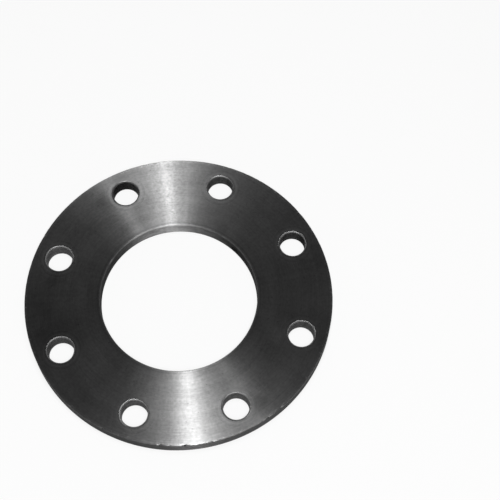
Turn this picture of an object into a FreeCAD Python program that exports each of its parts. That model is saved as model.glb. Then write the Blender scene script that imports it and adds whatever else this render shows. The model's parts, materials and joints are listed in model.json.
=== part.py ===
import FreeCAD, Part
import Sketcher
import os

# A flat-face ring flange cut from plate, in millimetres. The origin is the centre of the back
# face, and +Z runs along the pipe, out of the front face. The plate is faced, bored and turned
# as one ring, then drilled for its bolts, and every edge is broken at 45 degrees. The bolt
# circle lies at a set distance in from the rim, which keeps metal outside the holes.

SIZES = {
    "outer_diameter": 228.6,
    "plate_thickness": 12.7,
    "bore_diameter": 116.6,
    "bolts_to_rim": 19.05,
    "bolt_holes": 8,
    "hole_diameter": 19.05,
    "front_rim_break": 0.4,
    "back_rim_break": 1.2,
    "bore_break": 0.8,
    "hole_break": 0.8,
}

# How a sketch numbers its own axes, its origin, and a line's two ends.
X_AXIS, Y_AXIS = range(-1, -3, -1)
START, END = range(1, 3)
ORIGIN = (X_AXIS, START)

FULL_TURN = 360


def make_sheet(doc, sizes):
    """The driving dimensions, a row each: the name in column A, the aliased value in column B."""
    sheet = doc.addObject("Spreadsheet::Sheet", "Sizes")
    for row, (alias, value) in enumerate(sizes.items(), start=1):
        sheet.set("A%d" % row, alias)
        sheet.set("B%d" % row, str(value))
        sheet.setAlias("B%d" % row, alias)
    doc.recompute()


def origin_part(body, role):
    """One of the body's own origin planes or axes."""
    return next(item for item in body.Origin.OriginFeatures if item.Role == role)


def section_sketch(doc, body, name):
    """A sketch on the body's upright XZ plane: sketch X is a radius, sketch Y the pipe's direction."""
    sketch = body.newObject("Sketcher::SketchObject", name)
    sketch.AttachmentSupport = [(origin_part(body, "XZ_Plane"), "")]
    sketch.MapMode = "FlatFace"
    doc.recompute()
    return sketch


def closed_outline(sketch, corners):
    """Lines from corner to corner, joined end to end, with each level or upright one held so."""
    ends = corners[1:] + corners[:1]
    for start, end in zip(corners, ends):
        sketch.addGeometry(Part.LineSegment(FreeCAD.Vector(*start), FreeCAD.Vector(*end)), False)
    for line, (start, end) in enumerate(zip(corners, ends)):
        following = (line + 1) % len(corners)
        sketch.addConstraint(Sketcher.Constraint("Coincident", line, END, following, START))
        if start[0] == end[0]:
            sketch.addConstraint(Sketcher.Constraint("Vertical", line))
        if start[1] == end[1]:
            sketch.addConstraint(Sketcher.Constraint("Horizontal", line))


def drive(sketch, name, kind, first, second, formula):
    """A named distance from one point to another, bound to the sheet."""
    across = sketch.getPoint(*second) - sketch.getPoint(*first)
    value = across.x if kind == "DistanceX" else across.y
    number = sketch.addConstraint(Sketcher.Constraint(kind, *first, *second, value))
    sketch.renameConstraint(number, name)
    sketch.setExpression("Constraints." + name, formula)


def drive_break(sketch, name, line, formula):
    """A sloping line held at 45 degrees: its run along X and its rise along Y have one size."""
    ends = [(line, START), (line, END)]
    left, right = sorted(ends, key=lambda end: sketch.getPoint(*end).x)
    low, high = sorted(ends, key=lambda end: sketch.getPoint(*end).y)
    drive(sketch, name + "_run", "DistanceX", left, right, formula)
    drive(sketch, name + "_rise", "DistanceY", low, high, formula)


def turned_ring(doc, body, sizes):
    """The ring: its half section, with all four corners broken, revolved about the pipe's axis."""
    rim, bore = sizes["outer_diameter"] / 2, sizes["bore_diameter"] / 2
    front, back = sizes["front_rim_break"], sizes["back_rim_break"]
    inner, top = sizes["bore_break"], sizes["plate_thickness"]
    sketch = section_sketch(doc, body, "RingSection")
    closed_outline(sketch, [
        (bore + inner, 0), (rim - back, 0), (rim, back), (rim, top - front),
        (rim - front, top), (bore + inner, top), (bore, top - inner), (bore, inner),
    ])
    back_face, back_rim, rim_wall, front_rim, front_face, bore_mouth, bore_wall, bore_heel = range(8)
    sketch.addConstraint(Sketcher.Constraint("PointOnObject", back_face, START, X_AXIS))
    drive(sketch, "thickness", "DistanceY", (back_face, START), (front_face, END), "Sizes.plate_thickness")
    drive(sketch, "rim_radius", "DistanceX", ORIGIN, (rim_wall, START), "Sizes.outer_diameter / 2")
    drive(sketch, "bore_radius", "DistanceX", ORIGIN, (bore_wall, START), "Sizes.bore_diameter / 2")
    drive_break(sketch, "back_rim", back_rim, "Sizes.back_rim_break")
    drive_break(sketch, "front_rim", front_rim, "Sizes.front_rim_break")
    drive_break(sketch, "bore_mouth", bore_mouth, "Sizes.bore_break")
    drive_break(sketch, "bore_heel", bore_heel, "Sizes.bore_break")
    ring = body.newObject("PartDesign::Revolution", "TurnedRing")
    ring.Profile = sketch
    ring.ReferenceAxis = (sketch, ["V_Axis"])
    ring.Angle = FULL_TURN
    doc.recompute()


def drilled_hole(doc, body, sizes):
    """One bolt hole: the half section of what is cut away, revolved about the hole's own axis."""
    radius, mouth, top = sizes["hole_diameter"] / 2, sizes["hole_break"], sizes["plate_thickness"]
    sketch = section_sketch(doc, body, "HoleSection")
    sketch.setExpression("AttachmentOffset.Base.x", "Sizes.outer_diameter / 2 - Sizes.bolts_to_rim")
    closed_outline(sketch, [
        (0, 0), (radius + mouth, 0), (radius, mouth),
        (radius, top - mouth), (radius + mouth, top), (0, top),
    ])
    back_end, back_mouth, wall, front_mouth, front_end, middle = range(6)
    sketch.addConstraint(Sketcher.Constraint("PointOnObject", back_end, START, X_AXIS))
    sketch.addConstraint(Sketcher.Constraint("PointOnObject", middle, START, Y_AXIS))
    drive(sketch, "depth", "DistanceY", (middle, END), (middle, START), "Sizes.plate_thickness")
    drive(sketch, "hole_radius", "DistanceX", ORIGIN, (wall, START), "Sizes.hole_diameter / 2")
    drive_break(sketch, "back_mouth", back_mouth, "Sizes.hole_break")
    drive_break(sketch, "front_mouth", front_mouth, "Sizes.hole_break")
    hole = body.newObject("PartDesign::Groove", "DrilledHole")
    hole.Profile = sketch
    hole.ReferenceAxis = (sketch, ["V_Axis"])
    hole.Angle = FULL_TURN
    doc.recompute()
    return hole


def bolt_pattern(doc, body, hole):
    """The hole repeated evenly round the bolt circle."""
    pattern = body.newObject("PartDesign::PolarPattern", "BoltHoles")
    pattern.Originals = [hole]
    pattern.Axis = (origin_part(body, "Z_Axis"), [""])
    pattern.Angle = FULL_TURN
    pattern.setExpression("Occurrences", "Sizes.bolt_holes")
    body.Tip = pattern
    doc.recompute()


def make_flange(doc, sizes):
    """The whole flange, turned by half a hole pitch so that its bolt holes straddle X and Y."""
    body = doc.addObject("PartDesign::Body", "Flange")
    body.Label = "flange"
    turned_ring(doc, body, sizes)
    hole = drilled_hole(doc, body, sizes)
    bolt_pattern(doc, body, hole)
    body.setExpression("Placement.Rotation.Angle", "180 deg / Sizes.bolt_holes")
    doc.recompute()
    return body


def check(doc, bodies):
    """Stops if any object failed to compute, or if a body has no sound single solid."""
    for item in doc.Objects:
        if "Invalid" in item.State or "Error" in item.State:
            raise RuntimeError("%s is %s" % (item.Label, item.State))
    for body in bodies:
        shape = body.Shape
        if shape.isNull() or not shape.isValid() or len(shape.Solids) != 1:
            raise RuntimeError("%s has no sound single solid" % body.Label)


def export(bodies):
    """One STEP file for each body, named by its label."""
    os.makedirs("parts", exist_ok=True)
    for body in bodies:
        body.Shape.exportStep("parts/%s.step" % body.Label)
        print("%s volume %.1f cubic mm" % (body.Label, body.Shape.Volume))


document = FreeCAD.newDocument("pipe_flange")
make_sheet(document, SIZES)
flange = make_flange(document, SIZES)
check(document, [flange])
export([flange])
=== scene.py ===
import json
import math
import bmesh
import bpy
from collections import namedtuple
from mathutils import Matrix, Vector, noise


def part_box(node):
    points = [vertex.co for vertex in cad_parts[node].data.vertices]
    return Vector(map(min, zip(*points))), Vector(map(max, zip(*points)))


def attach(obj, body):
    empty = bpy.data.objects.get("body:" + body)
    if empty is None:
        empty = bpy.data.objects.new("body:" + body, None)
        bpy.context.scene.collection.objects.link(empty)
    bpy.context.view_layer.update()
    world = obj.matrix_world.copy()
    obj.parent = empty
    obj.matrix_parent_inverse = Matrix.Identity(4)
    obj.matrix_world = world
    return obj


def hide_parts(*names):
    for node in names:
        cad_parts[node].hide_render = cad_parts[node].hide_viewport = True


# A flat steel ring flange, lying on its back face on a pale floor. Its two faces, its rim and its
# bore are turned, so their tool lines run round the pipe's axis and draw each lamp out into a
# streak across the ring. The bolt holes are drilled, with no streak in their walls.

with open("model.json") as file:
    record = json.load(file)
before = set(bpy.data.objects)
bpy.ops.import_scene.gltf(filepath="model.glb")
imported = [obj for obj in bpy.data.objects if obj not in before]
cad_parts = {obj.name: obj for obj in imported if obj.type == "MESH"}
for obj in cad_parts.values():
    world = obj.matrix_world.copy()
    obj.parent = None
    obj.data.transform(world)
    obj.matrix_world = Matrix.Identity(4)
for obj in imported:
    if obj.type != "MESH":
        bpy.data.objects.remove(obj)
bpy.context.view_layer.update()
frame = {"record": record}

# Sizes in metres. The frame gives the plate, the bore and the bolt circle, and the breaks at the
# edges are those of the solid.
MM = 0.001
low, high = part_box("flange")
mounts = {mount["name"]: mount["dims"] for mount in frame["record"]["mounts"]}
THICKNESS = high.z - low.z
RIM = max(high.x - low.x, high.y - low.y) / 2
BORE = mounts["pipe_bore"]["r_mm"] * MM
HOLE = mounts["bolt_holes"]["hole_r_mm"] * MM
BOLT_CIRCLE = mounts["bolt_holes"]["pcd_mm"] / 2 * MM
HOLES = mounts["bolt_holes"]["count"]
RIM_FRONT_BREAK = 0.4 * MM
RIM_BACK_BREAK = 1.2 * MM
BORE_BREAK = 0.8 * MM
HOLE_BREAK = 0.8 * MM

# The mesh: steps round each circle, how far each band reaches onto the faces, with finer bands
# near the rim's edge, how much the corners of a break are rounded over, and what counts as a corner.
RIM_STEPS = 1080
BORE_STEPS = 720
HOLE_STEPS = 96
RIM_BANDS = (0.9 * MM, 1.4 * MM, 2.4 * MM)
RIM_MARGIN = 4.0 * MM
BORE_MARGIN = 3.0 * MM
HOLE_MARGIN = 1.6 * MM
ROUNDING = 0.26 * MM
HOLE_ROUNDING = 0.55 * MM
ROUNDING_STEPS = 3
CORNER = math.radians(30)
CREASE = math.radians(5)
SAME_PLACE = 0.001 * MM

# How much a face's normal points up or down on the flat faces, and at most on the upright walls.
# Then the ring's materials, in their order.
FLAT = 0.97
UPRIGHT = 0.3
FACE, RIM_EDGE, BORE_WALL, BORE_MOUTH, HOLE_WALL, HOLE_MOUTH = range(6)

# Wear along the rim's front edge: how fine it is, how much of the edge stays sharp, its reach and
# its depth, how much a way down the rim counts against one across the face, and the share of its
# depth that goes inwards, and as much down.
WEAR_SCALE = 520
WEAR_START = 0.08
WEAR_REACH = 0.45 * MM
WEAR_DEPTH = 0.22 * MM
DOWN_THE_RIM = 0.45
SLANT = math.sqrt(0.5)

# The knocks in that edge: the place round the rim in degrees, the width along the edge, the reach
# across the face and the depth.
Knock = namedtuple("Knock", "degrees width reach depth")
KNOCKS = [
    Knock(260.3, 1.5 * MM, 0.7 * MM, 0.22 * MM),
    Knock(269.2, 1.8 * MM, 0.7 * MM, 0.34 * MM),
    Knock(279.0, 1.2 * MM, 0.6 * MM, 0.18 * MM),
    Knock(238.8, 1.4 * MM, 0.7 * MM, 0.15 * MM),
    Knock(306.5, 1.8 * MM, 0.7 * MM, 0.16 * MM),
    Knock(301.0, 1.2 * MM, 0.6 * MM, 0.12 * MM),
    Knock(96.0, 1.6 * MM, 0.8 * MM, 0.20 * MM),
    Knock(151.0, 1.2 * MM, 0.7 * MM, 0.15 * MM),
    Knock(33.0, 1.4 * MM, 0.7 * MM, 0.18 * MM),
]

# The torn steel in a knock: how far its middle lies below the face, in widths, where it is full and
# where it ends, in depths, how ragged and how fine its edge is, and how much darker and rougher it is.
TORN_DROP = 0.3
TORN_FULL, TORN_END = 1.8, 4.4
TORN_RAGGEDNESS = 2.4 * MM
TORN_SCALE = 1000
TORN_DARKER, TORN_ROUGHER = 0.8, 0.3

# Patterns in the turned steel. The first ones follow the tool: how often each changes round the ring,
# per radian, how often across it, per metre, and its detail. The second ones run no way of their
# own: how often each changes, per metre, and its detail. They are read askew, off the noise's grid.
TOOL_PATTERNS = {
    "lines": (2.5, 1300, 2), "dashes": (26, 900, 1), "bands": (28, 12, 1), "turns": (0.9, 150, 2),
    "streaks": (9, 350, 2),
}
EVEN_PATTERNS = {"grain": (540, 2), "blotch": (60, 3), "film": (16, 2), "patchiness": (25, 1)}
ASKEW = (0.6, 0.5, 0.4)
OFF_GRID = 0.5

# How much each pattern changes the shade, the coarse part of the shade, the roughness, the share of
# the steel that is burnished, and its height in millimetres.
SHADES = {"lines": 0.30, "bands": 0.20, "turns": 0.30, "blotch": 0.35, "film": 0.5, "marks": 2.0}
COARSE_SHADES = {"grain": 1.0, "dashes": 0.5}
SHEENS = {"grain": 0.05, "dashes": -0.08, "blotch": 0.10, "marks": 0.8}
BURNISHING = {"grain": 0.05, "dashes": 0.15, "lines": 0.10}
HEIGHTS = {"lines": 0.015, "dashes": 0.010, "grain": 0.004, "marks": 0.030, "pits": -0.003}

# The marks left round each bolt hole by the tool that broke its edge: their rings, per metre, where
# they are full and where they end, their usual strength and how much it changes, in patches.
MARK_RINGS = 700
MARKS_FULL, MARKS_END = HOLE + 3 * MM, HOLE + 8 * MM
MARKS_STRENGTH, MARKS_CHANGE = 0.5, 2

# Pits, and the light flecks of a worn edge: how often the noise changes, per metre, and the values at
# which they start and are full. Then a fine line outside the bore's mouth: where it starts, is full,
# starts to fade and ends. Then where the rim's edge starts to be worn and is fully so, outwards and
# upwards, and how much darker or lighter each makes the steel.
PITS = dict(scale=560, start=0.22, full=0.30)
FLECKS = dict(scale=420, start=0.10, full=0.22)
FINE_LINE = (BORE + 1.4 * MM, BORE + 2.2 * MM, BORE + 2.4 * MM, BORE + 3.2 * MM)
WORN_OUTWARDS = (RIM - 2.6 * MM, RIM - 1.2 * MM)
WORN_UPWARDS = (THICKNESS - 1.4 * MM, THICKNESS - 0.6 * MM)
PITS_DARKER, LINE_DARKER = 0.35, 0.15
WORN_LIGHTER, FLECKS_LIGHTER = 0.15, 0.6

# Patterns in the drilled steel: how much the rings change along their way, per metre, how fine its
# grain and its blotches are, how much rings and grain change the shade, and how much the grain
# changes the roughness and the height, in millimetres.
DRILLED_ALONG = 40
DRILLED_GRAIN, DRILLED_BLOTCH = 900, 130
DRILLED_RING_SHADE, DRILLED_GRAIN_SHADE = 0.8, 1.5
DRILLED_GRAIN_SHEEN = 0.3
DRILLED_GRAIN_HEIGHT = 0.008

# Painted highlight and shade across the front face, which shape the lamps' streaks: the place round the
# ring in degrees, the width to one side and how much lighter or darker the steel is there.
PAINTED_STREAKS = [
    (93.0, 4.5, 0.22), (86.5, 4.5, -0.12), (117.5, 7.0, 0.38), (107.5, 4.0, 0.10),
    (73.0, 12.0, -0.13), (-67.5, 7.0, -0.13), (-76.0, 6.0, 0.08),
]

# Where the front face is scuffed the most: the place, the width to one side and how much more.
SCUFFS = [(92.0, 14.0, 1.0)]

# Patches of the front face that are darker or lighter: x and y, the reach from there and how much.
# Then how uneven and how fine their edges are.
PATCHES = [
    (-97 * MM, -28 * MM, 34 * MM, -0.42), (-106 * MM, 12 * MM, 24 * MM, -0.15),
    (-76 * MM, 2 * MM, 14 * MM, 0.25), (52 * MM, -88 * MM, 11 * MM, -0.35),
    (-51 * MM, 81 * MM, 11 * MM, -0.28), (-8 * MM, 65 * MM, 12 * MM, -0.18),
    (71 * MM, -33 * MM, 17 * MM, 0.22), (94 * MM, -62 * MM, 26 * MM, 0.14),
    (-26 * MM, -71 * MM, 26 * MM, 0.28), (-71 * MM, -76 * MM, 14 * MM, -0.12),
    (-66 * MM, -46 * MM, 15 * MM, 0.20), (-92 * MM, 20 * MM, 11 * MM, -0.22),
    (31 * MM, 58 * MM, 12 * MM, -0.16), (13 * MM, 95 * MM, 17 * MM, -0.12),
]
PATCH_UNEVENNESS = 30 * MM
PATCH_SCALE = 45

# Painted highlight and shade on the bore's wall, lighter where the lamps' streaks fall and darker at one
# side, and painted highlight on its mouth along the same streaks, with a light nick at 147 degrees, given
# as the painted streaks are.
BORE_WALL_PAINTED_LIGHT_AND_SHADE = [(92.0, 54.0, 1.55), (112.0, 16.0, 0.2), (38.0, 26.0, -0.35)]
BORE_MOUTH_PAINTED_LIGHT_AND_NICK = [(92.0, 50.0, 0.4), (121.0, 15.0, 0.5), (147.0, 4.0, 0.7)]

# Painted shade and painted light on the walls and mouths of the bolt holes, darker in some holes and
# lighter in others, given as the painted streaks are.
HOLE_WALL_PAINTED_SHADE_AND_LIGHT = [
    (112.5, 16, -0.7), (22.5, 16, -0.6), (67.5, 16, -0.3),
    (-112.5, 16, 0.3), (-67.5, 16, 0.3), (157.5, 16, 0.2),
]
HOLE_MOUTH_PAINTED_SHADE_AND_LIGHT = [(112.5, 16, -0.5), (-112.5, 16, 0.3), (-67.5, 16, 0.2)]

# The lamps: the side they stand on, as an azimuth from -Y towards +X and an elevation, their
# distance from the ring, their width and height, and their power in watts.
STRIP_LAMP = dict(azimuth=1.6, elevation=78.4, distance=1.3, width=0.04, height=1.11, watts=14.7)
SIDE_LAMP = dict(azimuth=53.4, elevation=71.7, distance=1.3, width=0.08, height=0.23, watts=2.3)

# The floor: its radius, its sides, how far it lies under the ring, how speckled it is and how finely,
# and where it turns from pale to white.
FLOOR = 12
FLOOR_SIDES = 64
FLOOR_DROP = 0.1 * MM
FLOOR_SPECKLE, FLOOR_SPECKLE_SCALE = 0.02, 300
NEAR_FLOOR, FAR_FLOOR = 0.35, 1.6

# The camera, set as the lamps are, with the point that it looks at and its own roll, its lens, and
# how near and how far it sees.
CAMERA_VIEW = dict(
    azimuth=-5.8779, elevation=65.62, distance=0.93771,
    aim=Vector((0.0555, 0.03364, THICKNESS)), roll=1.7116,
)
LENS_MM = 89.36
SENSOR_MM = 36
NEAREST, FARTHEST = 0.01, 100


class Channel:
    """One output of a node. Python's arithmetic on it adds Math nodes to its tree."""

    def __init__(self, finish, socket):
        self.finish = finish
        self.socket = socket

    def math(self, operation, *others):
        """A Math node, on this value and any others."""
        return self.finish.math(operation, self, *others)

    def __add__(self, other):
        return self.math("ADD", other)

    def __sub__(self, other):
        return self.math("SUBTRACT", other)

    def __rsub__(self, other):
        return self.finish.math("SUBTRACT", other, self)

    def __mul__(self, other):
        return self.math("MULTIPLY", other)

    def __truediv__(self, other):
        return self.math("DIVIDE", other)

    def __pow__(self, other):
        return self.math("POWER", other)

    def __mod__(self, other):
        return self.math("FLOORED_MODULO", other)

    __radd__ = __add__
    __rmul__ = __mul__

    def between(self, start, end):
        """0 below start, 1 above end, with a smooth step from one to the other."""
        return self.finish.node(
            "ShaderNodeMapRange",
            {"interpolation_type": "SMOOTHSTEP"},
            {"Value": self, "From Min": start, "From Max": end, "To Min": 0, "To Max": 1},
        )


class Finish:
    """A node tree in the making, of a material or of the world."""

    def __init__(self, block):
        block.use_nodes = True
        self.block = block
        self.tree = block.node_tree
        self.tree.nodes.clear()

    def node(self, kind, settings, inputs, output=0):
        """Adds a node: its settings first, then values or links for its sockets."""
        made = self.tree.nodes.new(kind)
        for name, value in settings.items():
            setattr(made, name, value)
        for name, value in inputs.items():
            if isinstance(value, Channel):
                self.tree.links.new(value.socket, made.inputs[name])
            else:
                made.inputs[name].default_value = value
        return Channel(self, made.outputs[output])

    def math(self, operation, *values):
        """A Math node, on values in their order."""
        return self.node("ShaderNodeMath", {"operation": operation}, dict(enumerate(values)))

    def close(self, kind, surface):
        """Ends the tree with its output node."""
        self.tree.links.new(surface.socket, self.tree.nodes.new(kind).inputs["Surface"])
        return self.block

    def place(self):
        """The point on the piece, in metres."""
        return self.node("ShaderNodeTexCoord", {}, {}, "Object")

    def axes(self, place):
        """A place's x, y and z."""
        split = self.node("ShaderNodeSeparateXYZ", {}, {"Vector": place})
        return [Channel(self, socket) for socket in split.socket.node.outputs]

    def point(self, x, y, z):
        return self.node("ShaderNodeCombineXYZ", {}, {"X": x, "Y": y, "Z": z})

    def noise(self, vector, scale, detail):
        """Soft random values about 0, with features of about 1 / scale in the vector's units."""
        return self.node(
            "ShaderNodeTexNoise",
            {"noise_dimensions": "3D"},
            {"Vector": vector, "Scale": scale, "Detail": detail},
        ) - 0.5

    def distance(self, place, spot):
        """How far a place is from a fixed spot."""
        return self.node("ShaderNodeVectorMath", {"operation": "DISTANCE"}, {0: place, 1: spot}, "Value")

    def grey(self, value):
        """A colour with one value in all three channels."""
        return self.node("ShaderNodeCombineColor", {}, {"Red": value, "Green": value, "Blue": value})

    def relief(self, height):
        """The normals of a surface with a height in millimetres."""
        return self.node("ShaderNodeBump", {}, {"Strength": 1.0, "Distance": MM, "Height": height})

    def steel(self, shade, roughness, normal, edge_tint, **more):
        """Bare steel. The lower its edge tint, the darker it is where it is seen at a low angle."""
        return self.node("ShaderNodeBsdfPrincipled", {}, {
            "Base Color": self.grey(shade),
            "Metallic": 1.0,
            "Roughness": roughness,
            "Normal": normal,
            "Specular Tint": (edge_tint, edge_tint, edge_tint, 1),
            **more,
        })


def weighted(patterns, weights):
    """The patterns that have a weight, times it, added up."""
    return sum(weight * patterns[name] for name, weight in weights.items())


def striped(shade, angle, stripes):
    """The shade with soft stripes outwards across the ring, at angles round it."""
    for degrees, width, strength in stripes:
        away = (angle - math.radians(degrees)).math("ABSOLUTE")
        shade = shade * (1 + strength * (1 - away.between(0, math.radians(width))))
    return shade


def patched(finish, shade, place, patches):
    """The shade with soft, uneven patches on the front face."""
    uneven = finish.noise(place, PATCH_SCALE, 2) * PATCH_UNEVENNESS
    for x, y, reach, strength in patches:
        away = finish.distance(place, (x, y, THICKNESS)) + uneven
        shade = shade * (1 + strength * (1 - away.between(0, reach)))
    return shade


def from_hole(radius, angle):
    """How far a place lies from the axis of the nearest bolt hole."""
    turn = angle % (math.tau / HOLES) - math.pi / HOLES
    across = radius * turn.math("COSINE") - BOLT_CIRCLE
    along = radius * turn.math("SINE")
    return (across ** 2 + along ** 2) ** 0.5


def specks(finish, place, scale, start, full):
    """Specks in the steel, from 0 between them to 1 in the middle of each."""
    return finish.noise(place, scale, 1).between(start, full)


def torn_steel(finish, place):
    """1 where a knock has torn the rim's front edge, raggedly, and 0 elsewhere."""
    ragged = finish.noise(place, TORN_SCALE, 2) * TORN_RAGGEDNESS
    torn = 0
    for knock in KNOCKS:
        angle = math.radians(knock.degrees)
        middle = (RIM * math.cos(angle), RIM * math.sin(angle), THICKNESS - TORN_DROP * knock.width)
        away = finish.distance(place, middle) + ragged
        torn = torn + 1 - away.between(TORN_FULL * knock.depth, TORN_END * knock.depth)
    return torn


def tool_patterns(finish, round_x, round_y, depth):
    """The patterns that follow the tool, from a place's direction from the axis and its depth."""
    return {
        name: finish.noise(finish.point(round_x * around, round_y * around, depth * across), 1, detail)
        for name, (around, across, detail) in TOOL_PATTERNS.items()
    }


def even_patterns(finish, askew):
    """The patterns that run no way of their own."""
    return {
        name: finish.noise(askew, scale, detail)
        for name, (scale, detail) in EVEN_PATTERNS.items()
    }


def hole_marks(finish, away, patchiness):
    """Rings round each bolt hole, stronger in some patches than in others."""
    rings = finish.noise(finish.point(OFF_GRID, OFF_GRID, away * MARK_RINGS), 1, 1)
    near = 1 - away.between(MARKS_FULL, MARKS_END)
    return near * rings * (MARKS_STRENGTH + MARKS_CHANGE * patchiness)


def turned_steel(
    name, colour, edge_tint, polish, dullness, share, coarseness,
    streakiness=0, stripes=(), patches=(), scuffs=(),
):
    """Dark oiled steel with tool lines round the pipe's axis: a share of it is burnished and has the
    lower roughness, polish, and the rest has the higher one, dullness. It is mottled, scratched and
    lightly pitted, coarser at its scuffs, with stripes of painted highlight and shade round the ring
    and with darker or lighter patches."""
    finish = Finish(bpy.data.materials.new(name))
    place = finish.place()
    x, y, z = finish.axes(place)
    angle = y.math("ARCTAN2", x)
    radius = (x ** 2 + y ** 2) ** 0.5
    askew = finish.node(
        "ShaderNodeVectorRotate", {"rotation_type": "EULER_XYZ"}, {"Vector": place, "Rotation": ASKEW}
    )
    patterns = tool_patterns(finish, x / radius, y / radius, radius + z)
    patterns.update(even_patterns(finish, askew))
    patterns["marks"] = hole_marks(finish, from_hole(radius, angle), patterns["patchiness"])
    patterns["pits"] = specks(finish, askew, **PITS)

    # The fine line outside the bore's mouth, and the rim's edge, which is worn light, in flecks.
    start, full, fading, end = FINE_LINE
    fine_line = radius.between(start, full) * (1 - radius.between(fading, end))
    worn = radius.between(*WORN_OUTWARDS) * z.between(*WORN_UPWARDS)
    flecks = worn * specks(finish, askew, **FLECKS)
    torn = torn_steel(finish, place)

    shade = 1 + weighted(patterns, SHADES) + streakiness * patterns["streaks"]
    shade = shade + striped(coarseness, angle, scuffs) * weighted(patterns, COARSE_SHADES)
    shade = shade * (1 - PITS_DARKER * patterns["pits"]) * (1 - LINE_DARKER * fine_line)
    shade = shade * (1 + WORN_LIGHTER * worn + FLECKS_LIGHTER * flecks)
    # Stripes of painted highlight and shade round the ring, where a material is given them.
    shade = striped(shade, angle, stripes)
    if patches:
        shade = patched(finish, shade, place, patches)
    shade = colour * shade * (1 - TORN_DARKER * torn)

    # The grooves that the tool cut run round the axis, a quarter turn from the way that Blender
    # takes them by itself.
    sheen = 1 + weighted(patterns, SHEENS)
    normal = finish.relief(weighted(patterns, HEIGHTS))
    burnished, dull = (
        finish.steel(
            shade, roughness * sheen + TORN_ROUGHER * torn, normal, edge_tint,
            **{"Anisotropic": 1.0, "Anisotropic Rotation": 0.25},
        )
        for roughness in (polish, dullness)
    )
    burnishing = share + weighted(patterns, BURNISHING)
    surface = finish.node("ShaderNodeMixShader", {}, {0: burnishing, 1: dull, 2: burnished})
    return finish.close("ShaderNodeOutputMaterial", surface)


def drilled_steel(name, colour, edge_tint, roughness, unevenness, mottle, fineness, cut, stripes):
    """Drilled steel, as dark, uneven and mottled as is asked, with the tool's rings round the hole.
    They are as fine as is asked, per metre, and cut to a depth in millimetres."""
    finish = Finish(bpy.data.materials.new(name))
    place = finish.place()
    x, y, z = finish.axes(place)
    angle = y.math("ARCTAN2", x)
    down = from_hole((x ** 2 + y ** 2) ** 0.5, angle) + z
    rings = finish.noise(finish.point(x * DRILLED_ALONG, y * DRILLED_ALONG, down * fineness), 1, 2)
    grain = finish.noise(place, DRILLED_GRAIN, 3)
    blotch = finish.noise(place, DRILLED_BLOTCH, 1)
    uneven = DRILLED_RING_SHADE * rings + DRILLED_GRAIN_SHADE * grain
    # The stripes are painted shade and light, darker in some holes and lighter in others.
    shade = striped(1 + unevenness * uneven + mottle * blotch, angle, stripes)
    normal = finish.relief(cut * rings + DRILLED_GRAIN_HEIGHT * unevenness * grain)
    sheen = 1 + DRILLED_GRAIN_SHEEN * grain
    surface = finish.steel(colour * shade, roughness * sheen, normal, edge_tint)
    return finish.close("ShaderNodeOutputMaterial", surface)


def pale_floor(name, colour, glow):
    """A pale floor. What the camera and the steel see of it is brought up towards white by the
    glow, and all the way far out, where it meets the world without an edge."""
    finish = Finish(bpy.data.materials.new(name))
    place = finish.place()
    speckle = finish.noise(place, FLOOR_SPECKLE_SCALE, 3)
    far = finish.distance(place, (0, 0, 0)).between(NEAR_FLOOR, FAR_FLOOR)
    sheet = finish.node("ShaderNodeBsdfPrincipled", {}, {
        "Base Color": finish.grey(colour * (1 + FLOOR_SPECKLE * speckle)),
        "Roughness": 0.9,
        "Specular IOR Level": 0.0,
    })
    white = finish.node("ShaderNodeEmission", {}, {"Color": (1, 1, 1, 1), "Strength": 1.0})
    seen, mirrored, through = (
        finish.node("ShaderNodeLightPath", {}, {}, ray)
        for ray in ("Is Camera Ray", "Is Glossy Ray", "Is Transmission Ray")
    )
    share = (glow + (1 - glow) * far) * (seen + mirrored + through)
    surface = finish.node("ShaderNodeMixShader", {}, {0: share, 1: sheet, 2: white})
    return finish.close("ShaderNodeOutputMaterial", surface)


def studio_world(name, overhead, horizon, low_rise, high_rise):
    """An even grey room overhead, white where it meets the floor."""
    finish = Finish(bpy.data.worlds.new(name))
    direction = finish.node("ShaderNodeTexCoord", {}, {}, "Generated")
    rise = finish.axes(direction)[2]
    dim = rise.between(low_rise, high_rise)
    light = finish.node("ShaderNodeBackground", {}, {
        "Color": finish.grey(horizon + (overhead - horizon) * dim),
        "Strength": 1.0,
    })
    return finish.close("ShaderNodeOutputWorld", light)


def turned_band(mesh, section, centre, angle, steps):
    """A band of faces: the section's corners, a radius and a height each, turned about an upright axis."""
    corners = [mesh.verts.new((centre.x + radius, centre.y, height)) for radius, height in section]
    sides = [mesh.edges.new(pair) for pair in zip(corners, corners[1:])]
    bmesh.ops.spin(
        mesh, geom=corners + sides, cent=centre, axis=(0, 0, 1), dvec=(0, 0, 0),
        angle=angle, steps=steps, use_merge=angle == math.tau,
    )


def rim_section():
    """From the front face, over the rim and under to the back face."""
    front = [(RIM - reach, THICKNESS) for reach in (RIM_MARGIN, *reversed(RIM_BANDS))]
    front_break = [(RIM - RIM_FRONT_BREAK, THICKNESS), (RIM, THICKNESS - RIM_FRONT_BREAK)]
    wall = [(RIM, THICKNESS - reach) for reach in RIM_BANDS[1:]]
    back_break = [(RIM, RIM_BACK_BREAK), (RIM - RIM_BACK_BREAK, 0)]
    return front + front_break + wall + back_break + [(RIM - RIM_MARGIN, 0)]


def hole_section(radius, edge_break, margin):
    """From the front face, down through a hole and out on the back face."""
    mouth = radius + edge_break
    return [
        (mouth + margin, THICKNESS), (mouth, THICKNESS), (radius, THICKNESS - edge_break),
        (radius, edge_break), (mouth, 0), (mouth + margin, 0),
    ]


def fill_flat(mesh, height, normal):
    """A flat face between all the open edges at one height."""
    open_edges = [
        edge for edge in mesh.edges
        if edge.is_boundary and all(abs(vert.co.z - height) < SAME_PLACE for vert in edge.verts)
    ]
    bmesh.ops.triangle_fill(mesh, use_beauty=True, edges=open_edges, normal=normal)


def at_bolt_hole(edge):
    """Whether an edge lies between the bore's band and the rim's."""
    return all(BORE + BORE_MARGIN < vert.co.xy.length < RIM - RIM_MARGIN for vert in edge.verts)


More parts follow.
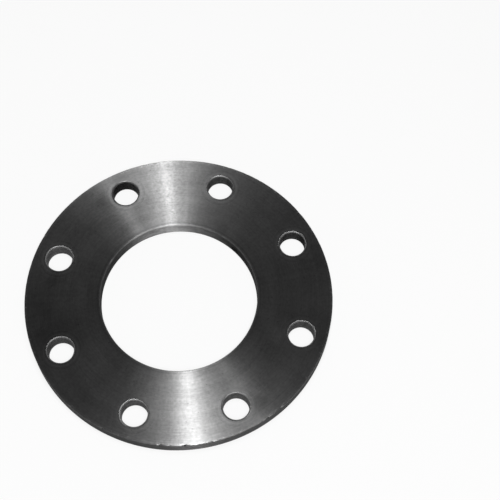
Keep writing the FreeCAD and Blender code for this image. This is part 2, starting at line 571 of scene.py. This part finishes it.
def round_corners(mesh):
    """Rounds over the corners that the breaks leave, those of the bolt holes the most."""
    corners = [edge for edge in mesh.edges if edge.calc_face_angle(0) > CORNER]
    drilled = [edge for edge in corners if at_bolt_hole(edge)]
    turned = [edge for edge in corners if not at_bolt_hole(edge)]
    rounded = set()
    for edges, offset in ((drilled, HOLE_ROUNDING), (turned, ROUNDING)):
        made = bmesh.ops.bevel(
            mesh, geom=edges, offset=offset, offset_type="OFFSET", segments=ROUNDING_STEPS,
            profile=0.5, affect="EDGES", clamp_overlap=True, material=-1,
        )
        rounded.update(made["faces"])
    for edge in mesh.edges:
        edge.smooth = edge.calc_face_angle(0) < CREASE or rounded.issuperset(edge.link_faces)


def knock_rim(mesh):
    """Wears the rim's front edge unevenly, and presses each knock into it, inwards and down."""
    edge_verts = [
        vert for vert in mesh.verts
        if vert.co.z > THICKNESS - RIM_BANDS[-1] and vert.co.xy.length > RIM - RIM_BANDS[-1]
    ]
    for vert in edge_verts:
        outwards = vert.co.xy.normalized().to_3d()
        inwards = Vector((RIM - vert.co.xy.length, (THICKNESS - vert.co.z) * DOWN_THE_RIM)).length
        ragged = max(0.0, noise.noise(vert.co * WEAR_SCALE) - WEAR_START)
        press = WEAR_DEPTH * ragged * math.exp(-((inwards / WEAR_REACH) ** 2))
        for knock in KNOCKS:
            angle = math.radians(knock.degrees)
            sideways = RIM * outwards.angle(Vector((math.cos(angle), math.sin(angle), 0)))
            press += knock.depth * math.exp(-((sideways / knock.width) ** 2) - (inwards / knock.reach) ** 2)
        vert.co -= (outwards + Vector((0, 0, 1))) * press * SLANT


def way_made(part):
    """Which material a face of the ring takes, from where it lies and how steep it is."""
    from_axis, steepness = part.calc_center_median().xy.length, abs(part.normal.z)
    if steepness > FLAT:
        return FACE
    if from_axis > RIM - RIM_MARGIN:
        return FACE if part.normal.z > UPRIGHT else RIM_EDGE
    if from_axis < BORE + BORE_MARGIN:
        return BORE_WALL if steepness < UPRIGHT else BORE_MOUTH
    return HOLE_WALL if steepness < UPRIGHT else HOLE_MOUTH


def finished(name, mesh, materials):
    """The mesh as the scene takes it, with its materials in their order."""
    data = bpy.data.meshes.new(name)
    mesh.to_mesh(data)
    mesh.free()
    for material in materials:
        data.materials.append(material)
    return data


def flange_mesh(name, materials):
    """The whole ring as one closed mesh: one bolt hole's share of it, repeated round the axis."""
    mesh = bmesh.new()
    axis = Vector((0, 0, 0))
    share = math.tau / HOLES
    hole_centre = Vector((math.cos(share / 2), math.sin(share / 2), 0)) * BOLT_CIRCLE
    turned_band(mesh, rim_section(), axis, share, RIM_STEPS // HOLES)
    turned_band(mesh, hole_section(BORE, BORE_BREAK, BORE_MARGIN), axis, share, BORE_STEPS // HOLES)
    turned_band(mesh, hole_section(HOLE, HOLE_BREAK, HOLE_MARGIN), hole_centre, math.tau, HOLE_STEPS)
    bmesh.ops.spin(
        mesh, geom=mesh.verts[:] + mesh.edges[:] + mesh.faces[:], cent=axis, axis=(0, 0, 1),
        dvec=(0, 0, 0), angle=math.tau - share, steps=HOLES - 1, use_duplicate=True,
    )
    bmesh.ops.remove_doubles(mesh, verts=mesh.verts, dist=SAME_PLACE)
    fill_flat(mesh, THICKNESS, (0, 0, 1))
    fill_flat(mesh, 0, (0, 0, -1))
    bmesh.ops.recalc_face_normals(mesh, faces=mesh.faces)
    for part in mesh.faces:
        part.smooth = True
    round_corners(mesh)
    knock_rim(mesh)
    mesh.normal_update()
    for part in mesh.faces:
        part.material_index = way_made(part)
    return finished(name, mesh, materials)


def floor_mesh(name, material):
    """A wide round sheet, just under the ring."""
    mesh = bmesh.new()
    bmesh.ops.create_circle(mesh, cap_ends=True, segments=FLOOR_SIDES, radius=FLOOR)
    bmesh.ops.translate(mesh, verts=mesh.verts, vec=(0, 0, -FLOOR_DROP))
    return finished(name, mesh, [material])


def show(data):
    """Puts a mesh, lamp or camera into the scene, at the origin."""
    item = bpy.data.objects.new(data.name, data)
    bpy.context.scene.collection.objects.link(item)
    return item


def looking_in(azimuth, elevation, distance, aim, roll=0):
    """The place and turn of a lamp or camera on one side of a point, looking at it."""
    side, rise, lean = (math.radians(angle) for angle in (azimuth, elevation, roll))
    back = Vector((math.sin(side) * math.cos(rise), -math.cos(side) * math.cos(rise), math.sin(rise)))
    level = Vector((0, 0, 1)).cross(back).normalized()
    upright = back.cross(level)
    right = level * math.cos(lean) + upright * math.sin(lean)
    up = upright * math.cos(lean) - level * math.sin(lean)
    turn = Matrix((right, up, back)).transposed().to_4x4()
    return Matrix.Translation(aim + back * distance) @ turn


def area_lamp(name, azimuth, elevation, distance, width, height, watts):
    """A flat lamp that shines on the middle of the ring's front face."""
    data = bpy.data.lights.new(name, "AREA")
    data.shape = "RECTANGLE"
    data.size, data.size_y = width, height
    data.energy = watts
    lamp = show(data)
    lamp.matrix_world = looking_in(azimuth, elevation, distance, Vector((0, 0, THICKNESS)))


ring = show(flange_mesh("Flange_Ring", [
    turned_steel(
        "Turned_Face", colour=0.14, edge_tint=1.0, polish=0.305, dullness=0.48, share=0.37,
        coarseness=0.43, stripes=PAINTED_STREAKS, patches=PATCHES, scuffs=SCUFFS,
    ),
    turned_steel(
        "Turned_Rim", colour=0.085, edge_tint=0.5, polish=0.40, dullness=0.50, share=0.5,
        coarseness=0.4, streakiness=0.3,
    ),
    turned_steel(
        "Bored_Wall", colour=0.075, edge_tint=0.32, polish=0.46, dullness=0.56, share=0.5,
        coarseness=0.6, streakiness=1.0, stripes=BORE_WALL_PAINTED_LIGHT_AND_SHADE,
    ),
    turned_steel(
        "Bored_Mouth", colour=0.17, edge_tint=0.26, polish=0.44, dullness=0.55, share=0.5,
        coarseness=0.3, streakiness=0.6, stripes=BORE_MOUTH_PAINTED_LIGHT_AND_NICK,
    ),
    drilled_steel(
        "Drilled_Wall", colour=0.10, edge_tint=0.32, roughness=0.45, unevenness=1.4, mottle=0.6,
        fineness=1400, cut=0.017, stripes=HOLE_WALL_PAINTED_SHADE_AND_LIGHT,
    ),
    drilled_steel(
        "Drilled_Mouth", colour=0.18, edge_tint=0.4, roughness=0.58, unevenness=0.3, mottle=1.6,
        fineness=5000, cut=0.06, stripes=HOLE_MOUTH_PAINTED_SHADE_AND_LIGHT,
    ),
]))
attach(ring, "root")
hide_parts("flange")

floor = show(floor_mesh("Floor", pale_floor("Pale_Floor", colour=0.82, glow=0.8)))

area_lamp("Strip_Lamp", **STRIP_LAMP)
area_lamp("Side_Lamp", **SIDE_LAMP)
bpy.context.scene.world = studio_world(
    "Studio", overhead=0.13, horizon=1.0, low_rise=0.2, high_rise=0.3
)

camera_data = bpy.data.cameras.new("Camera")
camera_data.lens = LENS_MM
camera_data.sensor_width = SENSOR_MM
camera_data.clip_start, camera_data.clip_end = NEAREST, FARTHEST
camera = show(camera_data)
camera.matrix_world = looking_in(**CAMERA_VIEW)
bpy.context.scene.camera = camera
bpy.context.scene.view_settings.view_transform = "Standard"
